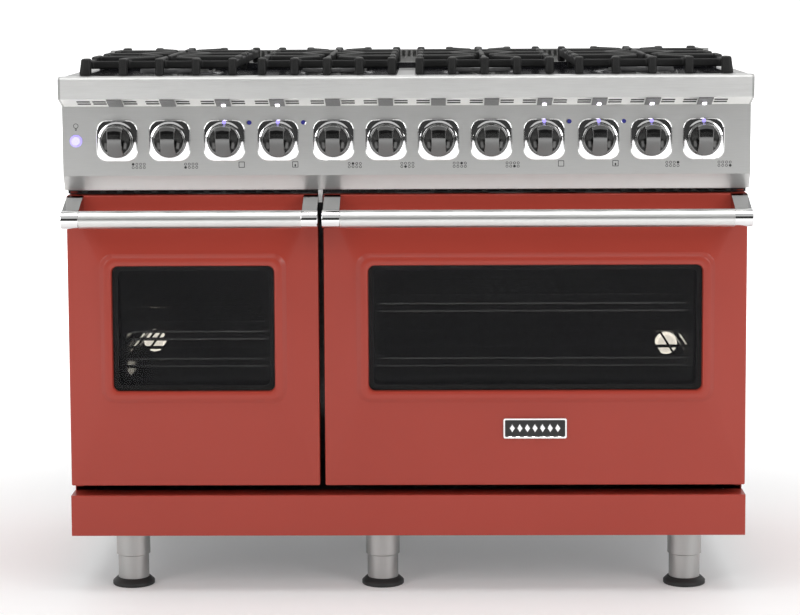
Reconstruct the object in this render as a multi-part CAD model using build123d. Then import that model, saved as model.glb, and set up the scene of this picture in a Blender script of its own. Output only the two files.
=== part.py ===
"""Freestanding gas range, 48 inch class, with two ovens and eight burners.

Millimetres. +X is to the right seen from the front, -Y is the front, +Z is up.
The origin is on the floor, under the middle of the whole range.
"""

import os
from math import cos, pi, sin

from build123d import *

os.makedirs("parts", exist_ok=True)

# Overall size
HALF_WIDTH = 608.0
REAR = 371.0
DECK_TOP = 938.0
SHEET = 1.5
FIT_GAP = 0.3

# Body
SIDE_X = 606.0
BODY_FRONT = -244.0
BASE_BOTTOM = 111.0
KICK_BOTTOM = 109.0
KICK_TOP = 183.0
KICK_FRONT = -293.0
PANEL_FRONT = -304.0
PANEL_TOP = 886.0
PANEL_FOLD = 763.0
PANEL_FOOT = 736.0
PANEL_FOOT_Y = -288.0
LEDGE_FRONT = -347.0
LEDGE_TOP = 939.5
LEDGE_BOTTOM = 901.0
LEDGE_BACK = -300.0
CAP_THICKNESS = 4.0
SLOPE_TILT = -19.2
SLOPE_MIDDLE = (-325.5, 893.5)
SLOT_WIDTH = 23.0
SLOT_HEIGHT = 5.5
SLOT_ROW_OFFSET = 6.0
TRIM_FRONT = 340.0
TRIM_TOP = 963.0

# Legs
LEG_PLACES = [(x, y) for x in (-507.0, -47.0, 507.0) for y in (-207.0, 290.0)]
FOOT_RADIUS = 38.5
FOOT_RIM = 7.0
FOOT_HEIGHT = 14.0
TUBE_RADIUS = 28.3
SLEEVE_BORE = 28.8
SLEEVE_RADIUS = 31.0
SLEEVE_BOTTOM = 56.6
TUBE_TOP = 100.0

# Cooktop
PAN_INNER_X = 15.5
PAN_OUTER_X = 584.0
PAN_FRONT = -286.0
PAN_REAR = 300.0
PAN_DEPTH = 15.0
RIM_WIDTH = 8.0
RIM_TOP = DECK_TOP + 1.0
MODULE_X = (-436.4, -139.5, 139.5, 436.4)
MODULE_WIDTH = (273.6, 245.0, 245.0, 273.6)
BURNER_Y = (-150.0, 156.0)
GRATE_FRONT = -290.0
GRATE_REAR = 300.0
GRATE_TOP = 970.0
GRATE_BAR = 11.0
POST_WIDTH = 15.0
OUTER_POST_EDGE = 579.0
CAP_RADIUS = 51.0
CAP_TOP = 948.0
CAP_HEIGHT = 9.0
HEAD_RADIUS = 45.0
HEAD_BOTTOM = 926.0
PORT_COUNT = 24
IGNITER_OFFSET = 56.0
IGNITER_RADIUS = 3.0
REST_RAIL_Y = 3.0
REST_RAIL_TOP = 950.0

# Knobs and controls
KNOB_X = [-511.0, -418.0, -321.0, -226.0, -128.0, -35.0, 57.6, 151.0, 244.0, 340.0, 433.0, 525.0]
KNOB_Z = 825.0
KNOB_RADIUS = 29.0
KNOB_DEPTH = 38.0
GRIP_WIDTH = 25.0
STEM_RADIUS = 4.0
STEM_HOLE = 6.0
BEZEL_SIDE = 74.0
BEZEL_DEPTH = 5.0
BUTTON_X = -584.0
BUTTON_RADIUS = 8.0
INDICATORS_X = (-278.0, -180.0, 287.0, 384.0)
INDICATOR_Z = 856.5

# Ovens: side of the range, inner x limits of the cavity
CAVITY_X = {"left": (-546.0, -217.0), "right": (-92.5, 550.5)}
CAVITY_FLOOR = 250.0
CAVITY_ROOF = 660.0
CAVITY_REAR = 240.0
LAMP_PLACES = ((-514.0, 383.0), (515.0, 375.0))
WALL = 1.2
RACK_PITCH = 50.5
RACK_LEVELS = {"left": (2, 3), "right": (2, 4)}
FIRST_LEVEL = 300.0
RACK_FRONT = -224.0
RACK_REAR = 206.0

# Convection fan of the right oven
FAN_X = 229.0
FAN_Z = 455.0
FAN_BLADES = 9
FAN_SHAFT_RADIUS = 4.0
FAN_SHAFT_HOLE = 6.0

# Gas and power inlets at the rear
GAS_X = 560.0
GAS_Z = 800.0
INLET_RADIUS = 9.3
INLET_LENGTH = 15.0
PIPE_RADIUS = 11.0
POWER_X = -500.0
POWER_Z = 400.0

# Doors: side of the range, outer x limits and window centre
DOOR_X = {"left": (-606.0, -157.5), "right": (-148.0, 606.0)}
WINDOW_X = {"left": -381.7, "right": 229.0}
WINDOW_WIDTH = {"left": 290.0, "right": 595.0}
WINDOW_HEIGHT = 226.0
WINDOW_Z = 487.0
FRAME_WIDTH = 20.5
FRAME_RISE = 7.0
DOOR_BOTTOM = 201.0
DOOR_TOP = 727.0
DOOR_FRONT = -292.0
SKIN_BACK = -256.0
DOOR_BACK = -248.0
HINGE_Y = -280.0
HINGE_Z = 213.0
HINGE_X = {"left": (-520.0, -243.0), "right": (-62.0, 520.0)}
PIN_RADIUS = 4.0
HANDLE_Y = -355.0
HANDLE_Z = 690.0
HANDLE_RADIUS = 15.75
RING_RADIUS = 16.0
RING_WIDTH = {"left": (31.7, 29.0), "right": (31.7, 31.7)}
HANDLE_X = {"left": (-605.0, -154.5), "right": (-147.0, 606.0)}


def block(x0, x1, y0, y1, z0, z1):
    """Box between two corners."""
    place = Pos((x0 + x1) / 2, (y0 + y1) / 2, (z0 + z1) / 2)
    return place * Box(x1 - x0, y1 - y0, z1 - z0)


def rod_x(radius, x0, x1, y, z):
    """Round bar along X."""
    return Pos((x0 + x1) / 2, y, z) * Rot(0, 90, 0) * Cylinder(radius, x1 - x0)


def rod_y(radius, y0, y1, x, z):
    """Round bar along Y."""
    return Pos(x, (y0 + y1) / 2, z) * Rot(90, 0, 0) * Cylinder(radius, y1 - y0)


def rod_z(radius, z0, z1, x, y):
    """Round bar along Z."""
    return Pos(x, y, (z0 + z1) / 2) * Cylinder(radius, z1 - z0)


def profile_x(points, x0, x1):
    """Polygon of (y, z) points extruded from x0 to x1."""
    face = Plane.YZ * make_face(Polyline(*points, close=True))
    return Pos(x0, 0, 0) * extrude(face, amount=x1 - x0, dir=(1, 0, 0))


def rounded_slab(width, height, radius, y0, y1, x, z):
    """Upright slab with rounded corners, seen from the front."""
    face = Plane.XZ * RectangleRounded(width, height, radius)
    return Pos(x, y1, z) * extrude(face, amount=y1 - y0)


def group(solids):
    """Separate solids kept together in one sub-part."""
    return Compound(children=list(solids))


def write(name, shape):
    export_step(shape, f"parts/{name}.step")


# ---------------------------------------------------------------- body

def base_pan():
    """Floor sheet of the body with a turned-up lip on three sides."""
    outer = block(-604, 604, BODY_FRONT, 366, BASE_BOTTOM, BASE_BOTTOM + 20)
    inner = block(-602.5, 602.5, BODY_FRONT - 1, 364.5, BASE_BOTTOM + SHEET, BASE_BOTTOM + 21)
    return outer - inner


def side_panels():
    """Left and right outer sheets with a folded front edge."""
    def one(side):
        sheet = block(SIDE_X - SHEET, SIDE_X, BODY_FRONT, 369, KICK_BOTTOM, DECK_TOP - 2.5)
        fold = block(SIDE_X - 14, SIDE_X - SHEET, BODY_FRONT, BODY_FRONT + SHEET, 190, 735)
        return (sheet + fold) if side > 0 else mirror(sheet + fold, Plane.YZ)
    return group(one(side) for side in (-1, 1))


def rear_panel():
    """Back sheet with louvre slots and holes for the gas and power inlets."""
    panel = block(-604.4, 604.4, 366.5, 368, 112, 925)
    slots = [
        block(x - 40, x + 40, 360, 375, z - 2.5, z + 2.5)
        for x in range(-400, 401, 200)
        for z in range(700, 861, 16)
    ]
    holes = [rod_y(16, 360, 375, GAS_X, GAS_Z), rod_y(14, 360, 375, POWER_X, POWER_Z)]
    return panel - slots - holes


def rear_vent_trim():
    """Rear stainless riser: a channel open below, with upright slots in its front face."""
    outer = block(-HALF_WIDTH, HALF_WIDTH, TRIM_FRONT, REAR, DECK_TOP, TRIM_TOP)
    inner = block(-606.5, 606.5, TRIM_FRONT + SHEET, REAR - SHEET, DECK_TOP - 1, TRIM_TOP - SHEET)
    slots = [block(x - 3, x + 3, TRIM_FRONT - 2, TRIM_FRONT + 5, 949, 961) for x in range(-594, 595, 11)]
    return outer - inner - slots


def cooktop_deck():
    """Stainless deck sheet with two cut-outs for the burner pans."""
    deck = block(-HALF_WIDTH, HALF_WIDTH, LEDGE_BACK, REAR, DECK_TOP - 2, DECK_TOP)
    cuts = [
        block(min(s * PAN_INNER_X, s * PAN_OUTER_X) + 6, max(s * PAN_INNER_X, s * PAN_OUTER_X) - 6,
              PAN_FRONT + 6, PAN_REAR - 6, 900, 960)
        for s in (-1, 1)
    ]
    return deck - cuts


def burner_pans():
    """Two black dished pans, each under two grates, and the rail the grates rest on."""
    def pan(side):
        x0, x1 = sorted((side * PAN_INNER_X, side * PAN_OUTER_X))
        rim = block(x0, x1, PAN_FRONT, PAN_REAR, DECK_TOP, RIM_TOP)
        tray = block(x0 + RIM_WIDTH, x1 - RIM_WIDTH, PAN_FRONT + RIM_WIDTH, PAN_REAR - RIM_WIDTH,
                     RIM_TOP - PAN_DEPTH, RIM_TOP)
        hollow = block(x0 + RIM_WIDTH + WALL, x1 - RIM_WIDTH - WALL, PAN_FRONT + RIM_WIDTH + WALL,
                       PAN_REAR - RIM_WIDTH - WALL, RIM_TOP - PAN_DEPTH + WALL, RIM_TOP + 1)
        places = [(x, y) for x in MODULE_X for y in BURNER_Y if x * side > 0]
        holes = [rod_z(25, 900, 960, x, y) for x, y in places]
        holes += [rod_z(IGNITER_RADIUS + 0.5, 900, 960, x + IGNITER_OFFSET, y) for x, y in places]
        return rim + tray - hollow - holes
    rail = block(1 - PAN_OUTER_X, PAN_OUTER_X - 1, REST_RAIL_Y - 5.5, REST_RAIL_Y + 5.5,
                 RIM_TOP + 0.2, REST_RAIL_TOP)
    return group([pan(-1), pan(1), rail])


def landing_ledge():
    """Bullnose front ledge, folded from one sheet, with the slotted slope below it."""
    slope_back = PANEL_FRONT + SHEET
    outer = [
        (LEDGE_BACK, LEDGE_TOP), (LEDGE_FRONT + 4, LEDGE_TOP), (LEDGE_FRONT + 1.2, LEDGE_TOP - 1.2),
        (LEDGE_FRONT, LEDGE_TOP - 4), (LEDGE_FRONT, LEDGE_BOTTOM), (PANEL_FRONT, PANEL_TOP),
        (slope_back, PANEL_TOP + 1), (LEDGE_FRONT + SHEET, LEDGE_BOTTOM + 1),
        (LEDGE_FRONT + SHEET, LEDGE_TOP - 4), (LEDGE_FRONT + 4, LEDGE_TOP - SHEET),
        (LEDGE_BACK, LEDGE_TOP - SHEET),
    ]
    shell = profile_x(outer, -HALF_WIDTH + CAP_THICKNESS, HALF_WIDTH - CAP_THICKNESS)
    slots = []
    for centre in [x + dx for x in KNOB_X for dx in (-27, 27)] + [-566.0]:
        for step in (-SLOT_ROW_OFFSET, SLOT_ROW_OFFSET):
            slot = Pos(0, step, 0) * Box(SLOT_WIDTH, SLOT_HEIGHT, 14)
            slots.append(Pos(centre, *SLOPE_MIDDLE) * Rot(SLOPE_TILT, 0, 0) * slot)
    return shell - slots


def ledge_end_caps():
    """Black caps closing both ends of the ledge."""
    points = [
        (LEDGE_BACK, LEDGE_TOP), (LEDGE_FRONT + 4, LEDGE_TOP), (LEDGE_FRONT + 1.2, LEDGE_TOP - 1.2),
        (LEDGE_FRONT, LEDGE_TOP - 4), (LEDGE_FRONT, LEDGE_BOTTOM), (PANEL_FRONT, PANEL_TOP),
        (LEDGE_BACK, PANEL_TOP),
    ]
    left = profile_x(points, -HALF_WIDTH, -HALF_WIDTH + CAP_THICKNESS)
    right = profile_x(points, HALF_WIDTH - CAP_THICKNESS, HALF_WIDTH)
    return group([left, right])


def control_panel():
    """Brushed front panel with returned ends, a folded lower flange and stem holes."""
    face = block(-HALF_WIDTH, HALF_WIDTH, PANEL_FRONT, PANEL_FRONT + SHEET, PANEL_FOLD, PANEL_TOP)
    flange = profile_x(
        [(PANEL_FRONT, PANEL_FOLD), (PANEL_FOOT_Y, PANEL_FOOT), (PANEL_FOOT_Y + SHEET, PANEL_FOOT),
         (PANEL_FRONT + SHEET, PANEL_FOLD)],
        -HALF_WIDTH, HALF_WIDTH)
    end = profile_x(
        [(PANEL_FRONT + SHEET, PANEL_TOP), (PANEL_FRONT + SHEET, PANEL_FOLD),
         (PANEL_FOOT_Y + SHEET, PANEL_FOOT), (BODY_FRONT, PANEL_FOOT), (BODY_FRONT, DECK_TOP - 2.5),
         (LEDGE_BACK, DECK_TOP - 2.5),
         (LEDGE_BACK, PANEL_TOP)],
        HALF_WIDTH - SHEET, HALF_WIDTH)
    shell = face + flange + end + mirror(end, Plane.YZ)
    stems = [rod_y(STEM_HOLE, -320, -290, x, KNOB_Z) for x in KNOB_X]
    lamps = [rod_y(4, -320, -290, x, INDICATOR_Z) for x in INDICATORS_X]
    button = rod_y(BUTTON_RADIUS + 0.6, -320, -290, BUTTON_X, KNOB_Z)
    return shell - stems - lamps - button


def knob_bezels():
    """Chrome rounded-square plates behind the knobs."""
    def one(x):
        plate = rounded_slab(BEZEL_SIDE, BEZEL_SIDE, 17, PANEL_FRONT - BEZEL_DEPTH, PANEL_FRONT, x, KNOB_Z)
        return plate - rod_y(STEM_HOLE, -320, -290, x, KNOB_Z)
    return group(one(x) for x in KNOB_X)


def panel_lamps():
    """Lamp lenses over the knobs, four round indicators and the ring round the light button."""
    lenses = [
        Pos(x, *SLOPE_MIDDLE) * Rot(SLOPE_TILT, 0, 0) * Pos(0, 0, -1.1) * Box(27, 22, 2.0)
        for x in KNOB_X
    ]
    dots = [rod_y(3.9, PANEL_FRONT - 1.5, PANEL_FRONT + 8, x, INDICATOR_Z) for x in INDICATORS_X]
    ring = rod_y(10.5, PANEL_FRONT - 3, PANEL_FRONT, BUTTON_X, KNOB_Z)
    ring -= rod_y(BUTTON_RADIUS + 0.6, -320, -290, BUTTON_X, KNOB_Z)
    return group(lenses + dots + [ring])


def door_vent_grille():
    """Slotted black strip that lets hot air out above the doors."""
    strip = block(-604, 604, -276, -274.5, 729, 735)
    shelf = block(-604, 604, -274.5, BODY_FRONT, 733.5, 735)
    slots = [block(x - 11, x + 11, -280, -270, 730.5, 733) for x in range(-589, 590, 31)]
    return strip + shelf - slots


def kick_panel():
    """Lower front panel, a channel with its flanges turned back."""
    outer = block(-607, 607, KICK_FRONT, BODY_FRONT, KICK_BOTTOM, KICK_TOP)
    inner = block(-605.5, 605.5, KICK_FRONT + SHEET, BODY_FRONT + 1, KICK_BOTTOM + SHEET, KICK_TOP - SHEET)
    panel = outer - inner
    return fillet(panel.edges().filter_by(Axis.X).group_by(Axis.Y)[0], 1.4)


def leg_sleeves():
    """Six fixed sleeves under the base, each a tube with a plate."""
    def one(x, y):
        tube = rod_z(SLEEVE_RADIUS, SLEEVE_BOTTOM, BASE_BOTTOM, x, y)
        plate = block(x - 44, x + 44, y - 30, y + 44, BASE_BOTTOM - 2, BASE_BOTTOM)
        return tube + plate - rod_z(SLEEVE_BORE, 0, BASE_BOTTOM - 2, x, y)
    return group(one(x, y) for x, y in LEG_PLACES)


def leg_tubes():
    """Six polished tubes that screw up and down inside the sleeves."""
    def one(x, y):
        tube = rod_z(TUBE_RADIUS, FOOT_HEIGHT, TUBE_TOP, x, y)
        return tube - rod_z(TUBE_RADIUS - 2, FOOT_HEIGHT + 4, TUBE_TOP + 1, x, y)
    return group(one(x, y) for x, y in LEG_PLACES)


def leg_feet():
    """Six black feet with a flat rim and a conical top."""
    def one(x, y):
        rim = rod_z(FOOT_RADIUS, 0, FOOT_RIM, x, y)
        rise = FOOT_HEIGHT - FOOT_RIM
        top = Pos(x, y, FOOT_RIM + rise / 2) * Cone(FOOT_RADIUS - 1, TUBE_RADIUS + 2, rise)
        return rim + top
    return group(one(x, y) for x, y in LEG_PLACES)


# ---------------------------------------------------------------- gas and power

def gas_manifold():
    """Manifold pipe with a valve behind each burner knob, a pipe to the rear and a regulator."""
    pipe = rod_x(PIPE_RADIUS, -560, GAS_X + PIPE_RADIUS, -255, GAS_Z - 7)
    pipe += rod_y(PIPE_RADIUS, -255, 300, GAS_X, GAS_Z - 7)
    for x in KNOB_X:
        body = block(x - 14, x + 14, -292, -262, KNOB_Z - 22, KNOB_Z + 16)
        neck = block(x - 9, x + 9, -275, -246, KNOB_Z - 22, KNOB_Z - 8)
        pipe += body + neck
    pipe -= [rod_y(STEM_RADIUS + 0.4, -300, -275, x, KNOB_Z) for x in KNOB_X]
    regulator = block(GAS_X - 22, GAS_X + 22, 300, 345, GAS_Z - 30, GAS_Z + 30)
    stub = rod_y(14, 345, 370, GAS_X, GAS_Z)
    bore = rod_y(INLET_RADIUS, 370 - INLET_LENGTH, 371, GAS_X, GAS_Z)
    return pipe + regulator + stub - bore


def power_inlet():
    """Flanged power inlet: a socket shell with three flat blades inside."""
    shell = block(POWER_X - 16, POWER_X + 16, 368, 370.5, POWER_Z - 12, POWER_Z + 12)
    shell += rod_y(13, 330, 368, POWER_X, POWER_Z)
    shell -= block(POWER_X - 8, POWER_X + 8, 350, 372, POWER_Z - 6, POWER_Z + 6)
    blades = [
        block(POWER_X + dx - 1, POWER_X + dx + 1, 350, 366, POWER_Z - 3, POWER_Z + 3)
        for dx in (-5, 0, 5)
    ]
    return group([shell] + blades)


def burner_heads():
    """Eight aluminium burner heads with flame ports, and the spark igniter beside each."""
    def one(x, y):
        top = CAP_TOP - CAP_HEIGHT
        head = rod_z(HEAD_RADIUS, HEAD_BOTTOM, top, x, y) + rod_z(22, 880, HEAD_BOTTOM, x, y)
        port = Pos(HEAD_RADIUS, 0, 0) * Box(10, 2.4, 5)
        ports = [Pos(x, y, top - 4) * Rot(0, 0, 360 * i / PORT_COUNT) * port for i in range(PORT_COUNT)]
        return head - ports - rod_z(16, 879, HEAD_BOTTOM + 5, x, y)

    def igniter(x, y):
        body = rod_z(IGNITER_RADIUS, 900, 937, x + IGNITER_OFFSET, y)
        return body + rod_z(1, 937, 940, x + IGNITER_OFFSET, y)
    places = [(x, y) for x in MODULE_X for y in BURNER_Y]
    return group([one(x, y) for x, y in places] + [igniter(x, y) for x, y in places])


def burner_caps():
    """Eight loose black caps with a rounded top edge."""
    def one(x, y):
        cap = rod_z(CAP_RADIUS, CAP_TOP - CAP_HEIGHT, CAP_TOP, x, y)
        return fillet(cap.edges().group_by(Axis.Z)[-1], 4)
    return group(one(x, y) for x in MODULE_X for y in BURNER_Y)


# ---------------------------------------------------------------- grates

def grate(index):
    """One cast-iron grate over a front and a rear burner, on posts at its edges."""
    centre = MODULE_X[index]
    half = MODULE_WIDTH[index] / 2
    bottom = GRATE_TOP - 14
    low = GRATE_TOP - 5
    bar = GRATE_BAR
    rails = [
        block(centre + s * (half - bar / 2) - bar / 2, centre + s * (half - bar / 2) + bar / 2,
              GRATE_FRONT, GRATE_REAR, bottom - 2, low)
        for s in (-1, 1)
    ]
    spacing = (2 * half - POST_WIDTH) / 4
    post_x = [centre - half + POST_WIDTH / 2 + spacing * i for i in range(5)]
    grip = POST_WIDTH / 2
    foot = RIM_TOP + 0.2
    pieces = []
    for x in post_x:
        for y0 in (GRATE_FRONT, GRATE_REAR - bar):
            pieces.append(block(x - grip, x + grip, y0, y0 + bar, foot, GRATE_TOP))
    outer = post_x[0] if centre < 0 else post_x[-1]
    if abs(outer) > OUTER_POST_EDGE - POST_WIDTH:
        edge = OUTER_POST_EDGE if outer > 0 else -OUTER_POST_EDGE
        for y0 in (GRATE_FRONT, GRATE_REAR - bar):
            pieces.append(block(min(outer, edge), max(outer, edge), y0, y0 + bar, foot, GRATE_TOP - 2))
    for x in (post_x[0], post_x[-1]):
        for y0 in (REST_RAIL_Y - 28, REST_RAIL_Y + 16):
            pieces.append(block(x - bar / 2, x + bar / 2, y0, y0 + bar, foot, GRATE_TOP))
        for y in BURNER_Y:
            pieces.append(block(x - bar / 2, x + bar / 2, y - 26, y + 26, bottom, GRATE_TOP))
    cross = [
        block(centre - half, centre + half, y - bar / 2, y + bar / 2, bottom, GRATE_TOP)
        for y in (GRATE_FRONT + bar / 2 + 30, REST_RAIL_Y, GRATE_REAR - bar / 2 - 30)
    ]
    fingers = []
    for y in BURNER_Y:
        for s in (-1, 1):
            x0, x1 = sorted((centre + s * 20, centre + s * half))
            fingers.append(block(x0, x1, y - 4, y + 4, bottom, GRATE_TOP))
            near = y - s * 20
            far = (REST_RAIL_Y if (y > 0) == (s > 0) else (GRATE_REAR - 36 if y > 0 else GRATE_FRONT + 36))
            fingers.append(block(centre - 4, centre + 4, min(near, far), max(near, far), bottom, GRATE_TOP))
    for x in post_x:
        fingers.append(block(x - bar / 2, x + bar / 2, GRATE_FRONT, GRATE_FRONT + 36, bottom, GRATE_TOP))
        fingers.append(block(x - bar / 2, x + bar / 2, GRATE_REAR - 36, GRATE_REAR, bottom, GRATE_TOP))
    body = rails[0]
    for piece in rails[1:] + pieces + cross + fingers:
        body += piece
    return body


# ---------------------------------------------------------------- ovens

def oven_cavities():
    """Two enamelled oven boxes, open in front, each with a flange round the mouth."""
    def one(side):
        x0, x1 = CAVITY_X[side]
        outer = block(x0 - WALL, x1 + WALL, BODY_FRONT, CAVITY_REAR + WALL,
                      CAVITY_FLOOR - WALL, CAVITY_ROOF + WALL)
        flange = block(x0 - 34, x1 + 34, BODY_FRONT, BODY_FRONT + WALL, CAVITY_FLOOR - 45, CAVITY_ROOF + 60)
        inner = block(x0, x1, BODY_FRONT - 1, CAVITY_REAR, CAVITY_FLOOR, CAVITY_ROOF)
        box = outer + flange - inner
        if side == "right":
            box -= rod_y(FAN_SHAFT_HOLE, 230, 250, FAN_X, FAN_Z)
        return box
    return group(one(side) for side in CAVITY_X)


def rack_guides():
    """Four wire ladders on the cavity side walls, with six rungs each."""
    def ladder(x0, x1):
        wall = x0 if x0 in (CAVITY_X["left"][0], CAVITY_X["right"][0]) else x1 - 2.5
        body = block(wall, wall + 2.5, -202.5, -197.5, 290, 570)
        body += block(wall, wall + 2.5, -2.5, 2.5, 290, 570)
        body += block(wall, wall + 2.5, 197.5, 202.5, 290, 570)
        for level in range(6):
            z = FIRST_LEVEL + RACK_PITCH * level
            body += block(x0, x1, -215, 215, z - 2.5, z + 2.5)
        return body
    ladders = []
    for x0, x1 in CAVITY_X.values():
        ladders += [ladder(x0, x0 + 14), ladder(x1 - 14, x1)]
    return group(ladders)


def rack(side, level):
    """Wire oven rack: a rim, a mid wire and closely spaced wires front to back."""
    x0, x1 = CAVITY_X[side][0] + 3, CAVITY_X[side][1] - 3
    z = FIRST_LEVEL + RACK_PITCH * level + 2.5 + FIT_GAP + 3
    y0, y1 = RACK_FRONT, RACK_REAR
    body = rod_x(3, x0, x1, y0 + 3, z) + rod_x(3, x0, x1, y1 - 3, z) + rod_x(3, x0, x1, -3, z)
    body += rod_x(3, x0, x1, y0 + 3, z + 14)
    for x in (x0 + 3, x1 - 3):
        body += rod_y(3, y0, y1, x, z)
        body += rod_z(3, z, z + 14, x, y0 + 3)
    count = round((x1 - x0) / 25)
    for i in range(1, count):
        x = x0 + (x1 - x0) * i / count
        body += block(x - 1.5, x + 1.5, y0 + 3, y1 - 3, z, z + 3)
    return body


def oven_burners():
    """Bake burner tubes under the floor plate and broil burners under the roof."""
    tubes = []
    for side in CAVITY_X:
        x0, x1 = CAVITY_X[side]
        for z, inset in ((CAVITY_FLOOR + 12, 60), (CAVITY_ROOF - 12, 70)):
            frame = block(x0 + inset, x1 - inset, -180, 200, z - 7, z + 7)
            frame -= block(x0 + inset + 14, x1 - inset - 14, -166, 186, z - 8, z + 8)
            frame += block(x0 + inset, x0 + inset + 14, 199, CAVITY_REAR, z - 7, z + 7)
            tubes.append(frame)
    return group(tubes)


def fan_cover():
    """Perforated cover plate standing in front of the fan."""
    plate = rounded_slab(260, 200, 20, 212, 213.2, FAN_X, FAN_Z)
    legs = [
        rod_y(4, 213.2, CAVITY_REAR, FAN_X + sx * 115, FAN_Z + sz * 85)
        for sx in (-1, 1)
        for sz in (-1, 1)
    ]
    holes = []
    for ring, count in ((18, 8), (36, 14), (54, 20), (72, 28)):
        for i in range(count):
            turn = 2 * pi * i / count
            holes.append(rod_y(4.5, 205, 220, FAN_X + ring * cos(turn), FAN_Z + ring * sin(turn)))
    cover = plate - holes
    for leg in legs:
        cover += leg
    return cover


def convection_fan():
    """Bladed fan wheel on a shaft through the cavity's rear wall."""
    wheel = rod_y(70, 233, 234.5, FAN_X, FAN_Z) + rod_y(14, 222, 236, FAN_X, FAN_Z)
    for i in range(FAN_BLADES):
        blade = Pos(50, 0, 0) * Rot(0, 0, 25) * Box(36, 1.2, 15)
        wheel += Pos(FAN_X, 226, FAN_Z) * Rot(90, 0, 0) * Rot(0, 0, 360 * i / FAN_BLADES) * blade
    wheel += rod_y(FAN_SHAFT_RADIUS, 236, 262, FAN_X, FAN_Z)
    return wheel


def oven_lamps():
    """Oven lamps low on the rear walls, near the outer corners: a metal base with a glass dome."""
    lamps = []
    for x, z in LAMP_PLACES:
        lamps.append(rod_y(22, CAVITY_REAR - 8, CAVITY_REAR, x, z))
        dome = rod_y(18, CAVITY_REAR - 20, CAVITY_REAR - 8, x, z)
        lamps.append(fillet(dome.edges().group_by(Axis.Y)[0], 6))
    return group(lamps)


def door_gaskets():
    """Woven seal round each oven mouth."""
    rings = []
    for x0, x1 in CAVITY_X.values():
        z0, z1 = CAVITY_FLOOR - 18, CAVITY_ROOF + 18
        ring = block(x0 - 18, x1 + 18, BODY_FRONT - 3.5, BODY_FRONT, z0, z1)
        ring -= block(x0 - 8, x1 + 8, BODY_FRONT - 5, BODY_FRONT + 1, z0 + 10, z1 - 10)
        rings.append(ring)
    return group(rings)


def hinge_brackets():
    """Four fixed arms that carry the door hinge pins."""
    arms = []
    for pair in HINGE_X.values():
        for x in pair:
            arm = block(x - 4, x + 4, HINGE_Y, BODY_FRONT, HINGE_Z - 7, HINGE_Z + 7)
            arm += rod_x(7, x - 4, x + 4, HINGE_Y, HINGE_Z)
            arm += block(x - 10, x + 10, BODY_FRONT - 3, BODY_FRONT, HINGE_Z - 9, HINGE_Z + 9)
            arm += rod_x(PIN_RADIUS, x - 16, x + 16, HINGE_Y, HINGE_Z)
            arms.append(arm)
    return group(arms)


# ---------------------------------------------------------------- doors

def hinge_clearance(side):
    """Space that the fixed hinge arms need inside the door as it swings."""
    space = None
    for x in HINGE_X[side]:
        swing = rod_x(11, x - 19, x + 19, HINGE_Y, HINGE_Z)
        swing += block(x - 11, x + 11, HINGE_Y - 9, DOOR_BACK + 2, DOOR_BOTTOM - 2, HINGE_Z + 11)
        space = swing if space is None else space + swing
    return space


def door_skin(side):
    """Red outer shell of a door: a hollow pan with a raised frame round the window."""
    x0, x1 = DOOR_X[side]
    shell = block(x0, x1, DOOR_FRONT, SKIN_BACK, DOOR_BOTTOM, DOOR_TOP)
    front = shell.edges().filter_by(Axis.Y, reverse=True).group_by(Axis.Y)[0]
    shell = fillet(front, 3)
    shell -= block(x0 + SHEET, x1 - SHEET, DOOR_FRONT + SHEET, SKIN_BACK + 1,
                   DOOR_BOTTOM + SHEET, DOOR_TOP - SHEET)
    x, w, h = WINDOW_X[side], WINDOW_WIDTH[side], WINDOW_HEIGHT
    grow = 2 * FRAME_WIDTH
    frame = rounded_slab(w + grow, h + grow, 24, DOOR_FRONT - FRAME_RISE, DOOR_FRONT + SHEET, x, WINDOW_Z)
    frame = fillet(frame.edges().group_by(Axis.Y)[0], 5)
    shell += frame
    shell -= rounded_slab(w, h, 12, -320, -280, x, WINDOW_Z)
    return shell - hinge_clearance(side)


def door_glass(side):
    """Outer and inner window panes."""
    x, w, h = WINDOW_X[side], WINDOW_WIDTH[side], WINDOW_HEIGHT
    outer = rounded_slab(w + 16, h + 16, 12, DOOR_FRONT + SHEET, DOOR_FRONT + SHEET + 4, x, WINDOW_Z)
    inner = rounded_slab(w - 20, h - 20, 12, SKIN_BACK - 4, SKIN_BACK, x, WINDOW_Z)
    return group([outer, inner])


def door_liner(side):
    """Inner face of a door with its window opening, and the two hinge bearing blocks."""
    x0, x1 = DOOR_X[side]
    x, w, h = WINDOW_X[side], WINDOW_WIDTH[side], WINDOW_HEIGHT
    panel = block(x0 + 8, x1 - 8, SKIN_BACK, DOOR_BACK, HINGE_Z + 14, DOOR_TOP - 8)
    panel -= block(x0 + 16, x1 - 16, SKIN_BACK - 1, DOOR_BACK - SHEET, HINGE_Z + 22, DOOR_TOP - 16)
    panel -= rounded_slab(w - 40, h - 40, 12, -270, -240, x, WINDOW_Z)
    solids = [panel]
    for hinge in HINGE_X[side]:
        for s in (-1, 1):
            a, b = sorted((hinge + s * 11.5, hinge + s * 15.5))
            cheek = block(a, b, DOOR_FRONT + SHEET, -268, DOOR_BOTTOM + SHEET, HINGE_Z + 30)
            solids.append(cheek - rod_x(PIN_RADIUS + 0.05, a - 1, b + 1, HINGE_Y, HINGE_Z))
    return group(solids)


def handle_tube(side):
    """Brushed tube of a door handle."""
    x0, x1 = HANDLE_X[side]
    first, last = RING_WIDTH[side]
    tube = rod_x(HANDLE_RADIUS, x0 + first, x1 - last, HANDLE_Y, HANDLE_Z)
    return tube - rod_x(HANDLE_RADIUS - 2, x0, x1, HANDLE_Y, HANDLE_Z)


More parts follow.
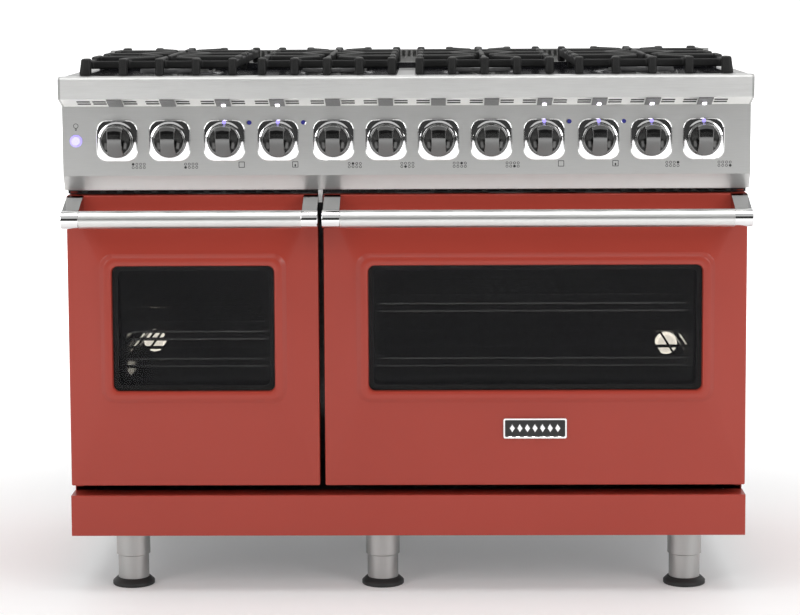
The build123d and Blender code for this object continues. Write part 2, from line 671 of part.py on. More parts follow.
def handle_brackets(side):
    """Polished end rings of a handle, each on an arm that meets the door's top edge."""
    x0, x1 = HANDLE_X[side]
    first, last = RING_WIDTH[side]
    arms = []
    for a, b in ((x0, x0 + first), (x1 - last, x1)):
        ring = rod_x(RING_RADIUS, a, b, HANDLE_Y, HANDLE_Z)
        arm = profile_x(
            [(HANDLE_Y + 2, HANDLE_Z + 15.5), (-318, 719), (DOOR_FRONT, DOOR_TOP), (DOOR_FRONT, 688),
             (-318, 679), (HANDLE_Y + 2, HANDLE_Z - 15.5)],
            a + 1, b - 1)
        arms.append(ring + arm)
    return group(arms)


def nameplate():
    """Plain chrome-framed badge with a recessed field."""
    z = 305.0
    plate = rounded_slab(115, 38, 4, DOOR_FRONT - 4, DOOR_FRONT, WINDOW_X["right"], z)
    return plate - rounded_slab(105, 28, 2, DOOR_FRONT - 5, DOOR_FRONT - 2.5, WINDOW_X["right"], z)


# ---------------------------------------------------------------- knobs and button

def knob(index):
    """Round knob with a raised grip bar across it, on its stem."""
    x = KNOB_X[index]
    back = PANEL_FRONT - BEZEL_DEPTH - 0.5
    disc = rod_y(KNOB_RADIUS, back - 14, back, x, KNOB_Z)
    disc = fillet(disc.edges().group_by(Axis.Y)[0], 3)
    bar = rounded_slab(GRIP_WIDTH, 2 * KNOB_RADIUS - 4, 6, back - KNOB_DEPTH, back - 13, x, KNOB_Z)
    bar = fillet(bar.edges().group_by(Axis.Y)[0], 4)
    stem = rod_y(STEM_RADIUS, back - 1, -278, x, KNOB_Z)
    return disc + bar + stem


def light_button():
    """Round push button for the oven lamps."""
    cap = rod_y(BUTTON_RADIUS, PANEL_FRONT - 5, PANEL_FRONT + 6, BUTTON_X, KNOB_Z)
    return fillet(cap.edges().group_by(Axis.Y)[0], 1)


PLAIN_PARTS = [
    base_pan, side_panels, rear_panel, rear_vent_trim, cooktop_deck, burner_pans, landing_ledge,
    ledge_end_caps, control_panel, knob_bezels, panel_lamps, door_vent_grille, kick_panel,
    leg_sleeves, leg_tubes, leg_feet, gas_manifold, power_inlet, burner_heads, burner_caps,
    oven_cavities, rack_guides, oven_burners, fan_cover, convection_fan, oven_lamps,
    door_gaskets, hinge_brackets, nameplate, light_button,
]

for part in PLAIN_PARTS:
    write(part.__name__, part())

for side in ("left", "right"):
    write(f"{side}_door_skin", door_skin(side))
    write(f"{side}_door_glass", door_glass(side))
    write(f"{side}_door_liner", door_liner(side))
    write(f"{side}_handle_tube", handle_tube(side))
    write(f"{side}_handle_brackets", handle_brackets(side))
    for name, level in zip(("lower", "upper"), RACK_LEVELS[side]):
        write(f"{side}_rack_{name}", rack(side, level))

for index in range(4):
    write(f"grate_{index + 1}", grate(index))

for index in range(12):
    write(f"knob_{index + 1}", knob(index))
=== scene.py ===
import bmesh
import bpy
from math import cos, pi, radians, sin
from mathutils import Matrix, Vector


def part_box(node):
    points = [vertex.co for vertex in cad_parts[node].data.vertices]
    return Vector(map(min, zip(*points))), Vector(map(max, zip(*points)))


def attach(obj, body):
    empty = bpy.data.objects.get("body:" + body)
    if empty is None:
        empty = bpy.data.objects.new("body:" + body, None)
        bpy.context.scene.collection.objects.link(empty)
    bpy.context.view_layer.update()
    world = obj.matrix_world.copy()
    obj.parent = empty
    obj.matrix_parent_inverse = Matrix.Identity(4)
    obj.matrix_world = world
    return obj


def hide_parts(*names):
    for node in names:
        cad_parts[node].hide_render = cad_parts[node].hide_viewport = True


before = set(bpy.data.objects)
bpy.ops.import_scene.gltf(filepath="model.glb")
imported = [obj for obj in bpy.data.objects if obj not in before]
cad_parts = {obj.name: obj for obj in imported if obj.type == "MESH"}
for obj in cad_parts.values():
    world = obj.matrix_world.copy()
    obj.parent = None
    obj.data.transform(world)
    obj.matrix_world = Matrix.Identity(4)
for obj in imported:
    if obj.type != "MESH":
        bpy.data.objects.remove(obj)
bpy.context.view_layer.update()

# ---------------------------------------------------------------- camera, light and floor
# The camera stands over four metres in front of the range, above its top. It is tipped down a
# little and its lens is shifted down a little. The room is a plain pale studio.
camera = bpy.data.objects.new("camera", bpy.data.cameras.new("camera"))
bpy.context.collection.objects.link(camera)
camera.matrix_world = (
    Matrix.Translation((0.0467, -4.4361, 1.1198))
    @ Matrix.Rotation(0.0140, 4, "Z") @ Matrix.Rotation(radians(84.03), 4, "X")
    @ Matrix.Rotation(-0.0050, 4, "Z")
)
camera.data.lens = 105.46
camera.data.shift_y = -0.113
camera.data.clip_end = 600
bpy.context.scene.camera = camera
bpy.context.scene.view_settings.view_transform = "Standard"


def softbox(name, place, aim, width, height, watts):
    """Rectangular area light turned towards a point."""
    light = bpy.data.objects.new(name, bpy.data.lights.new(name, "AREA"))
    light.data.shape = "RECTANGLE"
    light.data.size, light.data.size_y, light.data.energy = width, height, watts
    light.location = place
    light.rotation_euler = (Vector(aim) - Vector(place)).to_track_quat("-Z", "Y").to_euler()
    bpy.context.collection.objects.link(light)


softbox("light_over", (0, -1.0, 3.4), (0, 0, 0.8), 3.6, 1.6, 46)
softbox("light_front_left", (-3.0, -3.4, 2.2), (0, 0, 0.5), 1.2, 2.4, 36)
softbox("light_front_right", (3.0, -3.4, 2.2), (0.25, -0.3, 0.4), 1.2, 2.4, 46)
softbox("light_behind", (0, 9.0, 6.0), (0, 12.0, 0.0), 20.0, 10.0, 1500)

world = bpy.data.worlds.new("studio")
world.use_nodes = True
world.node_tree.nodes["Background"].inputs["Color"].default_value = (1, 1, 1, 1)
world.node_tree.nodes["Background"].inputs["Strength"].default_value = 0.62
bpy.context.scene.world = world


# ---------------------------------------------------------------- kick panel and side panels
# Steel sheet, folded and coated in gloss red enamel that was sprayed and baked. The coat has a
# very fine orange-peel ripple and a few faint clouds of colour.
class Link:
    """A shader socket that adds, subtracts and multiplies by making Math nodes."""

    def __init__(self, finish, socket):
        self.finish = finish
        self.socket = socket

    def math(self, operation, first, second):
        return self.finish.node("ShaderNodeMath", {"operation": operation}, {0: first, 1: second})

    def __add__(self, other):
        return self.math("ADD", self, other)

    def __sub__(self, other):
        return self.math("SUBTRACT", self, other)

    def __rsub__(self, other):
        return self.math("SUBTRACT", other, self)

    def __mul__(self, other):
        return self.math("MULTIPLY", self, other)

    def __gt__(self, other):
        return self.math("GREATER_THAN", self, other)

    __radd__ = __add__
    __rmul__ = __mul__


class Finish:
    """A material with one Principled shader, built up from nodes."""

    def __init__(self, name, **constants):
        self.material = bpy.data.materials.new(name)
        self.material.use_nodes = True
        self.tree = self.material.node_tree
        self.shader = self.tree.nodes["Principled BSDF"]
        for socket, value in constants.items():
            self.shader.inputs[socket.replace("_", " ")].default_value = value
        self.place = self.node("ShaderNodeTexCoord", out="Object")

    def node(self, kind, settings=None, sockets=None, out=0):
        node = self.tree.nodes.new(kind)
        for name, value in (settings or {}).items():
            if name == "stops":
                ends = node.color_ramp.elements
                for index, (position, colour) in enumerate(value):
                    stop = ends[index] if index < len(ends) else ends.new(position)
                    stop.position, stop.color = position, colour
            else:
                setattr(node, name, value)
        for name, value in (sockets or {}).items():
            self.plug(node.inputs[name], value)
        return Link(self, node.outputs[out])

    def plug(self, socket, value):
        if isinstance(value, Link):
            self.tree.links.new(value.socket, socket)
        else:
            socket.default_value = value

    def wear(self, **sockets):
        for name, value in sockets.items():
            self.plug(self.shader.inputs[name.replace("_", " ")], value)

    def noise(self, scale, detail=2.0, roughness=0.5, stretch=(1, 1, 1)):
        place = self.node("ShaderNodeMapping", {}, {"Vector": self.place, "Scale": stretch})
        return self.node("ShaderNodeTexNoise", {}, {
            "Vector": place, "Scale": scale, "Detail": detail, "Roughness": roughness})

    def blend(self, factor, first, second):
        return self.node("ShaderNodeMix", {"data_type": "RGBA"}, {0: factor, 6: first, 7: second},
                         out=2)

    def bump(self, height, strength, distance):
        self.plug(self.shader.inputs["Normal"], self.node("ShaderNodeBump", {}, {
            "Height": height, "Strength": strength, "Distance": distance}))


def red_enamel():
    finish = Finish("red_enamel", Coat_Roughness=0.10, Specular_IOR_Level=0.32)
    clouds = finish.noise(2.5, 3)
    finish.wear(Base_Color=finish.blend(clouds, (0.315, 0.037, 0.022, 1), (0.380, 0.046, 0.029, 1)))
    finish.wear(Roughness=0.30 + clouds * 0.12, Coat_Weight=0.12 + clouds * 0.10)
    finish.bump(finish.noise(420, 2), 0.12, 0.0003)
    return finish.material


def coat(node, material):
    """Gives a CAD node that is shown as it is its finished material."""
    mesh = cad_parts[node].data
    mesh.materials.clear()
    mesh.materials.append(material)


red = red_enamel()
coat("kick_panel", red)
coat("side_panels", red)


# ---------------------------------------------------------------- control panel, deck and riser
# Stainless sheet, folded and brushed along its length, so that fine streaks run left to right
# and the shine is drawn out across them. Handled places are slightly cloudier.
def brushed_steel(name, along=(1, 30, 30), tone=0.62):
    finish = Finish(name, Metallic=1.0)
    streaks = finish.noise(26, 6, 0.7, along)
    clouds = finish.noise(3, 3)
    light, dark = tone * 1.08, tone * 0.92
    finish.wear(Base_Color=finish.blend(streaks, (dark, dark, dark * 0.98, 1),
                                        (light, light, light * 0.985, 1)))
    finish.wear(Roughness=0.24 + streaks * 0.14 + clouds * 0.06)
    finish.bump(streaks, 0.10, 0.0004)
    return finish.material


steel = brushed_steel("brushed_steel")
for node in ("cooktop_deck", "rear_vent_trim"):
    coat(node, steel)
coat("control_panel", brushed_steel("panel_steel", tone=0.64))


# ---------------------------------------------------------------- hidden structure
# Base, back, gas pipe, brackets and seals: plain zinc-coated sheet, brass fittings and woven
# glass rope, all left as they come from the works.
def zinc_sheet():
    finish = Finish("zinc_sheet", Metallic=1.0)
    spangle = finish.node("ShaderNodeTexVoronoi", {}, {"Vector": finish.place, "Scale": 90.0})
    cloud = finish.noise(4, 3)
    finish.wear(Base_Color=finish.blend(spangle, (0.40, 0.41, 0.42, 1), (0.54, 0.55, 0.56, 1)))
    finish.wear(Roughness=0.36 + cloud * 0.14)
    finish.bump(finish.noise(220, 2), 0.06, 0.0003)
    return finish.material


def black_matt(name="black_matt", level=0.012):
    finish = Finish(name)
    grain = finish.noise(900, 3)
    finish.wear(Base_Color=finish.blend(grain, (level, level, level, 1),
                                        (level * 2, level * 2, level * 2, 1)))
    finish.wear(Roughness=0.45 + grain * 0.2)
    finish.bump(grain, 0.2, 0.0002)
    return finish.material


def brass():
    finish = Finish("brass", Metallic=1.0)
    tarnish = finish.noise(30, 4)
    finish.wear(Base_Color=finish.blend(tarnish, (0.45, 0.30, 0.11, 1), (0.68, 0.50, 0.22, 1)))
    finish.wear(Roughness=0.25 + tarnish * 0.3)
    return finish.material


def woven_seal():
    finish = Finish("woven_seal")
    wave = finish.node("ShaderNodeTexWave", {}, {"Vector": finish.place, "Scale": 180.0})
    finish.wear(Base_Color=finish.blend(wave, (0.10, 0.10, 0.10, 1), (0.25, 0.25, 0.24, 1)),
                Roughness=0.9)
    finish.bump(wave, 0.5, 0.0006)
    return finish.material


zinc = zinc_sheet()
black = black_matt()
for node in ("base_pan", "rear_panel", "hinge_brackets"):
    coat(node, zinc)
for node in ("door_vent_grille", "power_inlet"):
    coat(node, black)
coat("gas_manifold", brass())
coat("door_gaskets", woven_seal())


# ---------------------------------------------------------------- ovens
# Each oven box is steel fired with black porcelain flecked with grey. The racks, their guides
# and the burner tubes are bright wire and tube; the lamp domes glow.
def oven_porcelain():
    finish = Finish("oven_porcelain")
    fleck = finish.noise(1400, 1) > 0.66
    finish.wear(Base_Color=finish.blend(fleck, (0.010, 0.010, 0.012, 1), (0.09, 0.09, 0.10, 1)))
    finish.wear(Roughness=0.12 + finish.noise(12) * 0.12)
    finish.bump(finish.noise(300), 0.1, 0.0003)
    return finish.material


def bright_wire():
    finish = Finish("bright_wire", Metallic=1.0)
    haze = finish.noise(60)
    finish.wear(Base_Color=finish.blend(haze, (0.55, 0.55, 0.54, 1), (0.80, 0.80, 0.79, 1)))
    finish.wear(Roughness=0.12 + haze * 0.15)
    return finish.material


def lamp_glow():
    finish = Finish("oven_lamp_glow", Emission_Strength=2.5, Roughness=0.2)
    frost = finish.noise(200)
    finish.wear(Base_Color=finish.blend(frost, (0.8, 0.8, 0.75, 1), (1, 1, 0.95, 1)))
    finish.wear(Emission_Color=finish.blend(frost, (1.0, 0.9, 0.75, 1), (1.0, 0.95, 0.85, 1)))
    return finish.material


porcelain = oven_porcelain()
wire = bright_wire()
for node in ("oven_cavities", "fan_cover", "left_door_liner", "right_door_liner"):
    coat(node, porcelain)
for node in ("rack_guides", "oven_burners", "convection_fan", "left_rack_lower", "left_rack_upper",
             "right_rack_lower", "right_rack_upper"):
    coat(node, wire)
coat("oven_lamps", lamp_glow())


# ---------------------------------------------------------------- doors
# Each door is one pressed pan of enamelled steel: rolled edges, and a frame pushed forward round
# the window, with sloped sides. Dark glass is held behind the opening.
def ring(bm, width, height, radius, depth, shift_x=0.0, shift_y=0.0, steps=6):
    """Rounded rectangle of edges in the XY plane: a circle whose quarters are moved apart."""
    made = bmesh.ops.create_circle(bm, segments=4 * steps + 4, radius=radius)["verts"]
    turn = Matrix.Rotation(pi / (4 * steps + 4), 3, "Z")
    bmesh.ops.rotate(bm, verts=made, matrix=turn, cent=(0, 0, 0))
    for vert in made:
        vert.co.x += (width / 2 - radius) * (1 if vert.co.x > 0 else -1) + shift_x
        vert.co.y += (height / 2 - radius) * (1 if vert.co.y > 0 else -1) + shift_y
        vert.co.z = depth
    return list({edge for vert in made for edge in vert.link_edges})


def next_ring(bm, edges, was, now):
    """Extrudes a ring and reshapes the copy, so that a sheet runs from one ring to the next."""
    was, now = (tuple(sizes) + (0.0,) * (6 - len(sizes)) for sizes in (was, now))
    made = bmesh.ops.extrude_edge_only(bm, edges=edges)["geom"]
    for vert in (item for item in made if isinstance(item, bmesh.types.BMVert)):
        for axis in (0, 1):
            place = vert.co[axis] - was[4 + axis]
            side = 1 if place > 0 else -1
            share = (place - side * (was[axis] / 2 - was[2])) / was[2]
            vert.co[axis] = side * (now[axis] / 2 - now[2]) + share * now[2] + now[4 + axis]
        vert.co.z = now[3]
    fresh = {item for item in made if isinstance(item, bmesh.types.BMVert)}
    return [item for item in made if isinstance(item,
                                                bmesh.types.BMEdge) and set(item.verts) <= fresh]


def pressed(rings, fill_first=False, fill_last=False, steps=6):
    """Sheet through a list of rings, each (width, height, radius, depth) and a sideways shift."""
    bm = bmesh.new()
    edges = ring(bm, *rings[0], steps=steps)
    if fill_first:
        bmesh.ops.contextual_create(bm, geom=edges)
    for was, now in zip(rings, rings[1:]):
        edges = next_ring(bm, edges, was, now)
    if fill_last:
        bmesh.ops.contextual_create(bm, geom=edges)
    return bm


def face_front(bm, x, z, y=0.0):
    """Turns a bmesh made looking up so that it looks out of the front, and puts it in place."""
    bm.transform(Matrix.Translation((x, y, z)) @ Matrix.Rotation(radians(90), 4, "X"))
    return bm


def finish_piece(bm, name, material, body, replaces=(), bevel=0.0, angle=35.0):
    """Makes the object from a bmesh, smooths it, and fixes it to its body."""
    bmesh.ops.remove_doubles(bm, verts=bm.verts, dist=1e-6)
    bmesh.ops.recalc_face_normals(bm, faces=bm.faces)
    for face in bm.faces:
        face.smooth = True
    mesh = bpy.data.meshes.new(name)
    bm.to_mesh(mesh)
    bm.free()
    mesh.set_sharp_from_angle(angle=radians(angle))
    mesh.materials.append(material)
    piece = bpy.data.objects.new(name, mesh)
    bpy.context.collection.objects.link(piece)
    if bevel:
        rounding = piece.modifiers.new("bevel", "BEVEL")
        rounding.width, rounding.segments, rounding.limit_method = bevel, 3, "ANGLE"
        rounding.harden_normals = True
    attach(piece, body)
    if replaces:
        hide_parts(*replaces)
    return piece


def dark_glass():
    finish = Finish("dark_glass", Specular_IOR_Level=0.16)
    smear = finish.noise(6, 3)
    finish.wear(Base_Color=finish.blend(smear, (0.004, 0.004, 0.005, 1), (0.008, 0.008, 0.009, 1)))
    finish.wear(Roughness=0.03 + smear * 0.05, Alpha=0.30 - smear * 0.04)
    return finish.material


glass = dark_glass()
window_band = black_matt("window_band", 0.006)
frame_width, frame_slope = 0.0205, 0.009
hinge_x = {"left": (-0.520, -0.243), "right": (-0.062, 0.520)}
notch_half, notch_front = 0.0125, -0.289
for side in ("left", "right"):
    low, high = (Vector(corner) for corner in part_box(f"{side}_door_skin"))
    pane_low, pane_high = (Vector(corner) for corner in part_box(f"{side}_door_glass"))
    wide, tall = high.x - low.x, high.z - low.z
    mid_x, mid_z = (low.x + high.x) / 2, (low.z + high.z) / 2
    hole_wide, hole_tall = pane_high.x - pane_low.x - 0.016, pane_high.z - pane_low.z - 0.016
    hole_x, hole_z = (pane_low.x + pane_high.x) / 2, (pane_low.z + pane_high.z) / 2
    flat = -(low.y + 0.007)
    back = -high.y
    off = (mid_x - hole_x, mid_z - hole_z)
    grown_wide, grown_tall = hole_wide + 2 * frame_width, hole_tall + 2 * frame_width
    rings = [
        (wide - 0.003, tall - 0.003, 0.002, back, *off), (wide, tall, 0.003, back, *off),
        (wide, tall, 0.003, flat - 0.003, *off),
        (wide - 0.0010, tall - 0.0010, 0.003, flat - 0.0012, *off),
        (wide - 0.0030, tall - 0.0030, 0.003, flat - 0.0003, *off),
        (wide - 0.006, tall - 0.006, 0.003, flat, *off),
        (grown_wide + 0.006, grown_tall + 0.006, 0.027, flat),
        (grown_wide + 0.001, grown_tall + 0.001, 0.0245, flat + 0.0008),
        (grown_wide - frame_slope, grown_tall - frame_slope, 0.021, flat + 0.0058),
        (grown_wide - frame_slope - 0.005, grown_tall - frame_slope - 0.005, 0.019, flat + 0.007),
        (hole_wide + 0.008, hole_tall + 0.008, 0.016, flat + 0.007),
        (hole_wide + 0.003, hole_tall + 0.003, 0.0135, flat + 0.0062),
        (hole_wide, hole_tall, 0.012, flat + 0.003), (hole_wide, hole_tall, 0.012, flat - 0.0015),
    ]
    shell = face_front(pressed(rings), hole_x, hole_z)
    cuts = [((hinge + reach, 0, 0), (1, 0, 0)) for hinge in hinge_x[side]
            for reach in (-notch_half, notch_half)]
    for point, normal in cuts + [((0, notch_front, 0), (0, 1, 0))]:
        lip = [face for face in shell.faces if face.calc_center_median().z < low.z + 0.0015]
        around = {item for face in lip for item in (*face.verts, *face.edges, face)}
        bmesh.ops.bisect_plane(shell, geom=list(around), plane_co=point, plane_no=normal)
    notch = [face for face in shell.faces if face.calc_center_median().z < low.z + 0.0015
             and face.calc_center_median().y > notch_front
             and min(abs(face.calc_center_median().x - hinge)
                     for hinge in hinge_x[side]) < notch_half]
    bmesh.ops.delete(shell, geom=notch, context="FACES")
    finish_piece(shell, f"{side}_door_front", red, f"{side}_door",
                 [f"{side}_door_skin"])
    coat(f"{side}_door_glass", glass)
    band = pressed([(hole_wide + 0.01, hole_tall + 0.01, 0.014, 0),
                    (hole_wide - 0.018, hole_tall - 0.018, 0.009, 0),
                    (hole_wide - 0.018, hole_tall - 0.018, 0.009, -0.0004),
                    (hole_wide + 0.01, hole_tall + 0.01, 0.014, -0.0004)])
    finish_piece(face_front(band, hole_x, hole_z, pane_low.y + 0.0049), f"{side}_window_band",
                 window_band,
                 f"{side}_door")


# ---------------------------------------------------------------- strip between the doors
# A short stainless tongue hangs from the panel's foot and closes the top of the gap between the
# doors. It is screwed to the body behind and stays put when a door opens.
tongue = bmesh.new()
bmesh.ops.create_cube(tongue, size=1)
gap_left, gap_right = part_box("left_door_skin")[1][0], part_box("right_door_skin")[0][0]
for vert in tongue.verts:
    vert.co.x = gap_left + 0.0009 if vert.co.x < 0 else gap_right - 0.0009
    vert.co.y = -0.288 if vert.co.y < 0 else -0.262
    vert.co.z = 0.713 if vert.co.z < 0 else 0.7355
finish_piece(tongue, "gap_tongue", brushed_steel("tongue_steel", (30, 30, 1), 0.85), "range_body",
             bevel=0.0004)


# ---------------------------------------------------------------- door handles
# A brushed stainless tube between two polished rings. Each ring carries a cast arm that sweeps
# back to the top edge of the door and is screwed on from inside.
def polished(name="polished", tone=0.82):
    finish = Finish(name, Metallic=1.0)
    haze = finish.noise(18, 3)
    finish.wear(Base_Color=finish.blend(haze, (tone * 0.96, tone * 0.96, tone * 0.96, 1),
                                        (tone, tone, tone, 1)))
    finish.wear(Roughness=0.04 + haze * 0.05)
    return finish.material


def turned(steps, quarter=11):
    """Piece turned about Z from (radius, height) steps, closed at both ends."""
    return pressed([(2 * radius, 2 * radius, radius, height) for radius, height in steps], True,
                   True, quarter)


def lay_along_x(bm, y, z):
    bm.transform(Matrix.Translation((0, y, z)) @ Matrix.Rotation(radians(90), 4, "Y"))
    return bm


def join(first, second):
    """Adds a second bmesh to the first."""
    carrier = bpy.data.meshes.new("carrier")
    second.to_mesh(carrier)
    second.free()
    first.from_mesh(carrier)
    bpy.data.meshes.remove(carrier)
    return first


chrome = polished()
satin = polished("satin_arm", 0.42)
handle_steel = brushed_steel("handle_steel", (1, 40, 40), 0.70)
for side in ("left", "right"):
    tube_low, tube_high = (Vector(corner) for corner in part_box(f"{side}_handle_tube"))
    y, z = (tube_low.y + tube_high.y) / 2, (tube_low.z + tube_high.z) / 2
    radius = (tube_high.z - tube_low.z) / 2
    tube = lay_along_x(turned([(radius, tube_low.x), (radius, tube_high.x)]), y, z)
    finish_piece(tube, f"{side}_handle_bar", handle_steel, f"{side}_door",
                 [f"{side}_handle_tube"])
    low, high = (Vector(corner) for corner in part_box(f"{side}_handle_brackets"))
    door_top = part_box(f"{side}_door_skin")[1][2]
    metal, arms = bmesh.new(), bmesh.new()
    for start, end in ((low.x, tube_low.x), (tube_high.x, high.x)):
        ring_wide = end - start
        bead = 0.0012
        collar = turned([(radius, start), (radius + 0.0002, start + bead / 2),
                         (radius + 0.0003, start + bead),
                            (radius + 0.0003, end - bead), (radius - 0.0008, end)])
        join(metal, lay_along_x(collar, y, z))
        arm = bmesh.new()
        outline = [(y - 0.002, z + 0.0155), (y + 0.034, z + 0.0285), (high.y, door_top),
                   (high.y, z - 0.002),
                   (y + 0.036, z - 0.010), (y + 0.004, z - 0.0150)]
        face = arm.faces.new([arm.verts.new((start + 0.001, *point)) for point in outline])
        far = bmesh.ops.extrude_face_region(arm, geom=[face])["geom"]
        bmesh.ops.translate(arm, verts=[v for v in far if isinstance(v, bmesh.types.BMVert)],
                            vec=(ring_wide - 0.002, 0, 0))
        join(arms, arm)
    finish_piece(metal, f"{side}_handle_rings", chrome, f"{side}_door",
                 [f"{side}_handle_brackets"])
    finish_piece(arms, f"{side}_handle_arms", satin, f"{side}_door",
                 bevel=0.0008)


# ---------------------------------------------------------------- landing ledge
# One long fold of stainless sheet: a flat shelf, a bullnose, a slightly bowed front and a slope back to
# the panel that is pierced with two rows of air slots. Black boxes fill the slots as painted shade,
# standing in for the dark behind them.
def box_mesh(low, high):
    """Plain box between two corners, as a bmesh to be bevelled or joined."""
    bm = bmesh.new()
    bmesh.ops.create_cube(bm, size=1)
    size = Vector(high) - Vector(low)
    bm.transform(Matrix.Translation((Vector(low) + Vector(high)) / 2) @ Matrix.Diagonal((*size, 1)))
    return bm


coat("ledge_end_caps", steel)
# Painted light: the ledge gets a much paler copy of the same brushed steel than the panel, for the light
# that falls on it.
coat("landing_ledge", brushed_steel("ledge_steel_painted_light", tone=0.98))
ledge_low = Vector(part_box("landing_ledge")[0])
panel_low = Vector(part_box("control_panel")[0])
panel_y = panel_low.y
slope_top = Vector((0, ledge_low.y, ledge_low.z + 0.0150))
slope_foot = Vector((0, panel_y, ledge_low.z))
slope_tilt = Matrix.Rotation((slope_foot - slope_top).yz.angle_signed(Vector((1, 0))), 4, "X")
slope_mid = (slope_top + slope_foot) / 2
slots = bmesh.new()
knob_places = []
for number in range(1, 13):
    low, high = (Vector(corner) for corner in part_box(f"knob_{number}"))
    knob_places.append(((low.x + high.x) / 2, (low.z + high.z) / 2))
beside_knob = 0.027
end_slot_x = -0.566
for x in [place[0] + side * beside_knob for place in knob_places for side in (-1,
                                                                              1)] + [end_slot_x]:
    for along in (-0.0068, 0.0068):
        slot = box_mesh((-0.0116, along - 0.0034, -0.0003), (0.0116, along + 0.0034, 0.0022))
        slot.transform(Matrix.Translation(slope_mid + Vector((x, 0, 0))) @ slope_tilt)
        join(slots, slot)
# Painted shade: black boxes set flush in the slots stand in for the shadow behind them.
finish_piece(slots, "slot_painted_shade", black, "range_body")


# ---------------------------------------------------------------- knob bezels
# Die-cast and chromed plates with a pillowed rim and a low cone that rises to the knob's skirt.
def lit(name, colour, strength):
    finish = Finish(name, Emission_Strength=strength, Roughness=0.25)
    core = finish.noise(500)
    pale = tuple(min(1.0, part * 1.15) for part in colour[:3]) + (1,)
    finish.wear(Base_Color=finish.blend(core, colour, pale),
                Emission_Color=finish.blend(core, colour, pale))
    return finish.material


chrome_dark = polished("chrome_plate", 0.88)
violet = lit("violet_lamp", (0.36, 0.30, 0.95, 1), 0.85)
white_lamp = lit("white_lamp", (0.86, 0.83, 1.0, 1), 6.0)
lit_knobs = (3, 4, 9, 10, 11, 12)
plates = bmesh.new()
for x, z in knob_places:
    plate = pressed([
        (0.0716, 0.0716, 0.0180, 0.0), (0.0740, 0.0740, 0.0190, 0.0006),
        (0.0740, 0.0740, 0.0190, 0.0018),
        (0.0722, 0.0722, 0.0190, 0.0030), (0.0706, 0.0706, 0.0195, 0.0036),
        (0.0694, 0.0694, 0.0330, 0.0034),
        (0.0660, 0.0660, 0.0330, 0.0040), (0.0620, 0.0620, 0.0310, 0.0049),
        (0.0604, 0.0604, 0.0302, 0.0050),
        (0.0596, 0.0596, 0.0298, 0.0046), (0.0590, 0.0590, 0.0295, 0.0010),
        (0.0120, 0.0120, 0.0060, 0.0010), (0.0120, 0.0120, 0.0060, 0.0),
    ], steps=9)
    join(plates, face_front(plate, x, z, panel_y))
finish_piece(plates, "bezels", chrome_dark, "range_body", ["knob_bezels"], angle=50)


# ---------------------------------------------------------------- lamps on the panel
# Smoked lens blocks on the slope, one over each knob; those of the ovens and the last burners are on,
# with a painted spot of light, a small glowing disc, on the bezel below. Round indicators sit beside the
# oven knobs.
def smoked_lens():
    finish = Finish("smoked_lens", Roughness=0.3)
    ribs = finish.node("ShaderNodeTexWave", {}, {"Vector": finish.place, "Scale": 260.0})
    finish.wear(Base_Color=finish.blend(ribs, (0.10, 0.10, 0.10, 1), (0.20, 0.20, 0.20, 1)))
    finish.bump(ribs, 0.3, 0.0003)
    return finish.material


lenses = bmesh.new()
spots, glows = bmesh.new(), bmesh.new()
for number, (x, z) in enumerate(knob_places, 1):
    lens = box_mesh((-0.0130, -0.0200, -0.0020), (0.0130, 0.0200, 0.0010))
    lens.transform(Matrix.Translation(slope_mid + Vector((x, 0, 0))) @ slope_tilt)
    join(lenses, lens)
    if number in lit_knobs:
        spot = box_mesh((-0.0034, 0.0070, -0.0028), (0.0034, 0.0170, -0.0018))
        spot.transform(Matrix.Translation(slope_mid + Vector((x, 0, 0))) @ slope_tilt)
        join(spots, spot)
        # Painted light: a glowing disc on the bezel top stands in for the lamp's light falling on the
        # chrome.
        glow = pressed([(0.0066, 0.0066, 0.0028, 0.0), (0.0060, 0.0060, 0.0026, 0.0004)], True,
                       True)
        join(glows, face_front(glow, x, z + 0.0325, panel_y - 0.0048))
finish_piece(lenses, "lamp_lenses", smoked_lens(), "range_body", ["panel_lamps"],
             bevel=0.0006)
finish_piece(spots, "lamp_spots", white_lamp, "range_body")
finish_piece(glows, "bezel_painted_light_spots", violet, "range_body")

button_low, button_high = (Vector(corner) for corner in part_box("light_button"))
button_x, button_z = (button_low.x + button_high.x) / 2, (button_low.z + button_high.z) / 2
indicator_blue = lit("indicator_blue", (0.03, 0.03, 0.20, 1), 0.12)
dots = bmesh.new()
for number in (3, 4, 9, 10):
    x, z = knob_places[number - 1]
    dot = turned([(0.0039, 0.0), (0.0039, 0.0008), (0.0030, 0.0015)], 4)
    join(dots, face_front(dot, x + 0.0445, z + 0.0315, panel_y))
finish_piece(dots, "indicators", indicator_blue, "range_body")
halo = pressed([(0.0212, 0.0212, 0.0106, 0.0), (0.0212, 0.0212, 0.0106, 0.0022),
                (0.0196, 0.0196, 0.0098, 0.0030),
                (0.0172, 0.0172, 0.0086, 0.0030), (0.0172, 0.0172, 0.0086, 0.0)], steps=8)
finish_piece(face_front(halo, button_x, button_z, panel_y), "button_ring", violet, "range_body")
cap = turned([(0.0080, -0.004), (0.0080, 0.0040), (0.0074, 0.0048), (0.0050, 0.0042)], 8)
finish_piece(face_front(cap, button_x, button_z, panel_y), "lamp_button",
             lit("button_cap", (0.60, 0.56, 0.92, 1), 0.28),
             "light_button", ["light_button"])


# ---------------------------------------------------------------- marks on the panel
# Screen-printed signs in dark ink: a map of the eight burners under each burner knob with its
# own burner filled in, a square for each oven knob, and a bulb over the lamp button.
def ink():
    finish = Finish("panel_ink", Roughness=0.5)
    finish.wear(Base_Color=finish.blend(finish.noise(800), (0.015, 0.015, 0.015, 1),
                                        (0.035, 0.035, 0.035, 1)))
    return finish.material


def outline(width, height, radius, line=0.0009, steps=3):
    """Thin printed outline."""
    inner = max(radius - line, 0.0002)
    return pressed([(width, height, radius, 0.0), (width, height, radius, 0.0001),
                    (width - 2 * line, height - 2 * line, inner, 0.0001),
                    (width - 2 * line, height - 2 * line, inner, 0.0)],
                   steps=steps)


